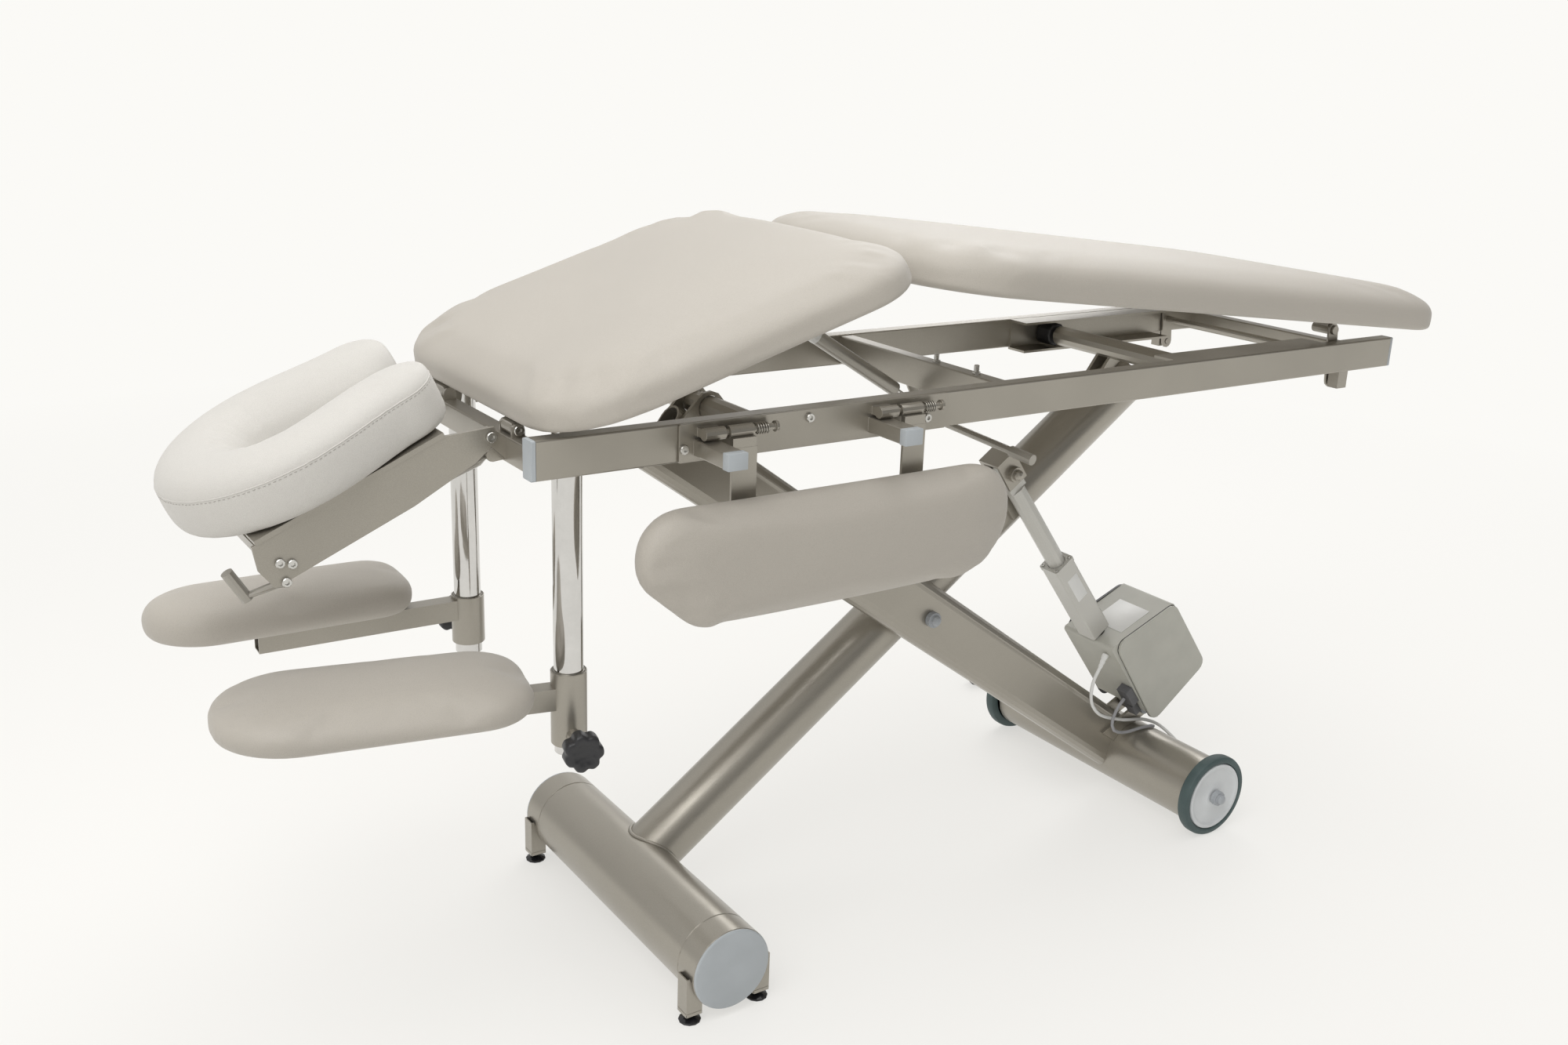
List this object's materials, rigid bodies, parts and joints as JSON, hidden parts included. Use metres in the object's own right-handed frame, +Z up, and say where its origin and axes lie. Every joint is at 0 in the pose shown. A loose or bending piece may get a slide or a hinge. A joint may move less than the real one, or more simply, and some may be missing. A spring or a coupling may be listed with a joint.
{
  "type": "massage table",
  "caption": "Electric lift massage table: scissor of crossed tubes, split bed raised in the middle, face cushion with a hole, arm rests on posts and a fold-down side wing.",
  "frame": {"origin": "on the floor, under the middle of the table's length and width without its mains lead", "axes": "+X from the head end to the foot end, +Y from the near side (with the wing) to the far side, +Z up"},
  "size_m": [2.0743, 0.7766, 1.0563],
  "materials": {
    "frame_paint": "satin",
    "black_gloss": "gloss",
    "black_plastic": "matte",
    "steel": "satin",
    "tyre_rubber": "matte",
    "hub_plastic": "satin",
    "actuator_grey": "satin",
    "housing_green_grey": "matte",
    "housing_beige": "matte",
    "plug_grey": "matte",
    "cord_grey": "satin",
    "cap_plastic": "satin",
    "chrome": "polished",
    "vinyl_light": "satin",
    "vinyl": "satin",
    "cord_white": "satin"
  },
  "bodies": {
    "base": {"foot_sleeve_near": "frame_paint", "foot_sleeve_far": "frame_paint"},
    "levelling_foot_near_head": {"levelling_foot_near_head": "black_gloss"},
    "levelling_foot_near_foot": {"levelling_foot_near_foot": "black_gloss"},
    "levelling_foot_far_head": {"levelling_foot_far_head": "black_gloss"},
    "levelling_foot_far_foot": {"levelling_foot_far_foot": "black_gloss"},
    "inner_arm": {"inner_arm": "frame_paint"},
    "roller_near": {"roller_near": "black_plastic"},
    "roller_far": {"roller_far": "black_plastic"},
    "outer_arm": {"outer_arm": "frame_paint", "scissor_bolt": "steel", "actuator_pin": "steel", "wheel_axle_near": "steel", "wheel_axle_far": "steel"},
    "wheel_near": {"tyre_near": "tyre_rubber", "hub_near": "hub_plastic"},
    "wheel_far": {"tyre_far": "tyre_rubber", "hub_far": "hub_plastic"},
    "actuator": {"actuator_tube": "actuator_grey", "gear_housing": "housing_green_grey", "housing_cover_near": "housing_beige", "housing_cover_far": "housing_beige", "motor_plug": "plug_grey", "hand_plug": "plug_grey", "motor_lead": "cord_grey", "mains_lead": "cord_white", "lead_coil": "cord_white", "mains_plug": "black_plastic"},
    "actuator_rod": {"actuator_rod": "actuator_grey"},
    "top_frame": {"top_frame": "frame_paint", "rail_cap_near_head": "cap_plastic", "rail_cap_near_foot": "cap_plastic", "rail_cap_far_head": "cap_plastic", "rail_cap_far_foot": "cap_plastic", "arm_post_near": "chrome", "arm_post_far": "chrome", "wing_plate": "frame_paint"},
    "head_section": {"head_frame": "frame_paint", "head_cushion": "vinyl_light"},
    "head_lever": {"head_lever": "steel"},
    "head_spring": {"head_spring": "actuator_grey"},
    "head_spring_rod": {"head_spring_rod": "chrome"},
    "chest_section": {"chest_frame": "frame_paint", "chest_cushion": "vinyl"},
    "chest_lever": {"chest_lever": "frame_paint"},
    "chest_spring": {"chest_spring": "actuator_grey"},
    "chest_spring_rod": {"chest_spring_rod": "chrome"},
    "leg_link": {"leg_link": "frame_paint"},
    "leg_section": {"leg_frame": "frame_paint", "leg_cushion": "vinyl"},
    "arm_slide_near": {"arm_liner_near": "cap_plastic"},
    "arm_slide_far": {"arm_liner_far": "cap_plastic"},
    "arm_rest_near": {"arm_bracket_near": "frame_paint", "arm_cushion_near": "vinyl"},
    "arm_rest_far": {"arm_bracket_far": "frame_paint", "arm_cushion_far": "vinyl"},
    "knob_near": {"knob_near": "black_plastic"},
    "knob_far": {"knob_far": "black_plastic"},
    "wing": {"wing_frame": "frame_paint", "wing_cushion": "vinyl"}
  },
  "joints": [
    {"name": "levelling_foot_near_head_screw", "type": "slide", "parent": "base", "child": "levelling_foot_near_head", "axis": [0, 0, -1], "range_m": [-0.006, 0.01]},
    {"name": "levelling_foot_near_foot_screw", "type": "slide", "parent": "base", "child": "levelling_foot_near_foot", "axis": [0, 0, -1], "range_m": [-0.006, 0.01]},
    {"name": "levelling_foot_far_head_screw", "type": "slide", "parent": "base", "child": "levelling_foot_far_head", "axis": [0, 0, -1], "range_m": [-0.006, 0.01]},
    {"name": "levelling_foot_far_foot_screw", "type": "slide", "parent": "base", "child": "levelling_foot_far_foot", "axis": [0, 0, -1], "range_m": [-0.006, 0.01]},
    {"name": "lift", "type": "hinge", "parent": "base", "child": "inner_arm", "pos_m": [-0.4011, 0.0041, 0.073], "axis": [0, -1, 0], "range_deg": [-17.5, 3]},
    {"name": "roller_near_turn", "type": "hinge", "parent": "inner_arm", "child": "roller_near", "pos_m": [0.5194, -0.165, 0.817], "axis": [0, 1, 0], "continuous": true},
    {"name": "roller_far_turn", "type": "hinge", "parent": "inner_arm", "child": "roller_far", "pos_m": [0.5194, 0.173, 0.817], "axis": [0, 1, 0], "continuous": true},
    {"name": "scissor", "type": "hinge", "parent": "inner_arm", "child": "outer_arm", "pos_m": [0.0954, 0.0041, 0.427], "axis": [0, -1, 0], "range_deg": [-6, 35]},
    {"name": "wheel_near_turn", "type": "hinge", "parent": "outer_arm", "child": "wheel_near", "pos_m": [0.5919, -0.2469, 0.073], "axis": [0, 1, 0], "continuous": true},
    {"name": "wheel_far_turn", "type": "hinge", "parent": "outer_arm", "child": "wheel_far", "pos_m": [0.5919, 0.2551, 0.073], "axis": [0, 1, 0], "continuous": true},
    {"name": "actuator_swing", "type": "hinge", "parent": "outer_arm", "child": "actuator", "pos_m": [0.6134, 0.0041, 0.16], "axis": [0, -1, 0], "range_deg": [-1.6, 0.3]},
    {"name": "actuator_stroke", "type": "slide", "parent": "actuator", "child": "actuator_rod", "axis": [-0.6013, 0, 0.799], "range_m": [-0.162, 0.029]},
    {"name": "frame_level", "type": "hinge", "parent": "outer_arm", "child": "top_frame", "pos_m": [-0.3286, 0.0041, 0.817], "axis": [0, -1, 0], "range_deg": [-17.5, 3]},
    {"name": "head_tilt", "type": "hinge", "parent": "top_frame", "child": "head_section", "pos_m": [-0.6766, 0.0041, 0.8305], "axis": [0, 1, 0], "range_deg": [-6, 22]},
    {"name": "head_release", "type": "hinge", "parent": "head_section", "child": "head_lever", "pos_m": [-0.9321, -0.1079, 0.7036], "axis": [0, 1, 0], "range_deg": [-10, 10]},
    {"name": "head_spring_swing", "type": "hinge", "parent": "top_frame", "child": "head_spring", "pos_m": [-0.6686, -0.0959, 0.803], "axis": [0, 1, 0], "range_deg": [-6.2, 22.2]},
    {"name": "head_spring_stroke", "type": "slide", "parent": "head_spring", "child": "head_spring_rod", "axis": [-0.94, 0, -0.3412], "range_m": [-0.0035, 0.0115]},
    {"name": "chest_tilt", "type": "hinge", "parent": "top_frame", "child": "chest_section", "pos_m": [-0.6421, 0.0041, 0.8358], "axis": [0, -1, 0], "range_deg": [-17.5, 3.5]},
    {"name": "chest_spring_swing", "type": "hinge", "parent": "chest_section", "child": "chest_spring", "pos_m": [-0.218, 0.0041, 0.9538], "axis": [0, -1, 0], "range_deg": [-10, 34.5]},
    {"name": "chest_spring_stroke", "type": "slide", "parent": "chest_spring", "child": "chest_spring_rod", "axis": [0.8516, 0, -0.5241], "range_m": [-0.075, 0.022]},
    {"name": "chest_release", "type": "hinge", "parent": "top_frame", "child": "chest_lever", "pos_m": [0.1164, -0.0138, 0.742], "axis": [1, 0, 0], "range_deg": [0, 8]},
    {"name": "leg_link_swing", "type": "hinge", "parent": "top_frame", "child": "leg_link", "pos_m": [0.8414, 0.0041, 0.775], "axis": [0, 1, 0], "range_deg": [-5, 30]},
    {"name": "leg_tilt", "type": "hinge", "parent": "leg_link", "child": "leg_section", "pos_m": [0.8314, 0.0041, 0.862], "axis": [0, 1, 0], "range_deg": [-38, 6.3]},
    {"name": "arm_rest_near_height", "type": "slide", "parent": "top_frame", "child": "arm_slide_near", "axis": [0, 0, 1], "range_m": [-0.012, 0.08]},
    {"name": "arm_rest_far_height", "type": "slide", "parent": "top_frame", "child": "arm_slide_far", "axis": [0, 0, 1], "range_m": [-0.012, 0.08]},
    {"name": "arm_rest_near_swivel", "type": "hinge", "parent": "arm_slide_near", "child": "arm_rest_near", "pos_m": [-0.5952, -0.1625, 0.45], "axis": [0, 0, 1], "range_deg": [-8, 45]},
    {"name": "arm_rest_far_swivel", "type": "hinge", "parent": "arm_slide_far", "child": "arm_rest_far", "pos_m": [-0.5952, 0.1707, 0.45], "axis": [0, 0, -1], "range_deg": [-8, 45]},
    {"name": "knob_near_turn", "type": "hinge", "parent": "arm_rest_near", "child": "knob_near", "pos_m": [-0.5952, -0.1625, 0.4405], "axis": [0.2028, 0.9792, 0], "range_deg": [0, 360]},
    {"name": "knob_far_turn", "type": "hinge", "parent": "arm_rest_far", "child": "knob_far", "pos_m": [-0.5952, 0.1707, 0.4635], "axis": [0.0349, 0.9994, 0], "range_deg": [0, 360]},
    {"name": "wing_fold", "type": "hinge", "parent": "top_frame", "child": "wing", "pos_m": [-0.4676, -0.2319, 0.832], "axis": [-1, 0, 0], "range_deg": [0, 90]}
  ],
  "couplings": [
    {"joint": "scissor", "follows": "lift", "ratio": -2},
    {"joint": "actuator_swing", "follows": "lift", "ratio": 0.0868},
    {"joint": "actuator_stroke", "follows": "lift", "m_per_rad": 0.5262},
    {"joint": "frame_level", "follows": "lift", "ratio": 1},
    {"joint": "head_spring_swing", "follows": "head_tilt", "ratio": 0.9912},
    {"joint": "head_spring_stroke", "follows": "head_tilt", "m_per_rad": 0.0283},
    {"joint": "chest_spring_swing", "follows": "chest_tilt", "ratio": -1.956},
    {"joint": "chest_spring_stroke", "follows": "chest_tilt", "m_per_rad": 0.241},
    {"joint": "leg_tilt", "follows": "leg_link_swing", "ratio": -1.219}
  ]
}
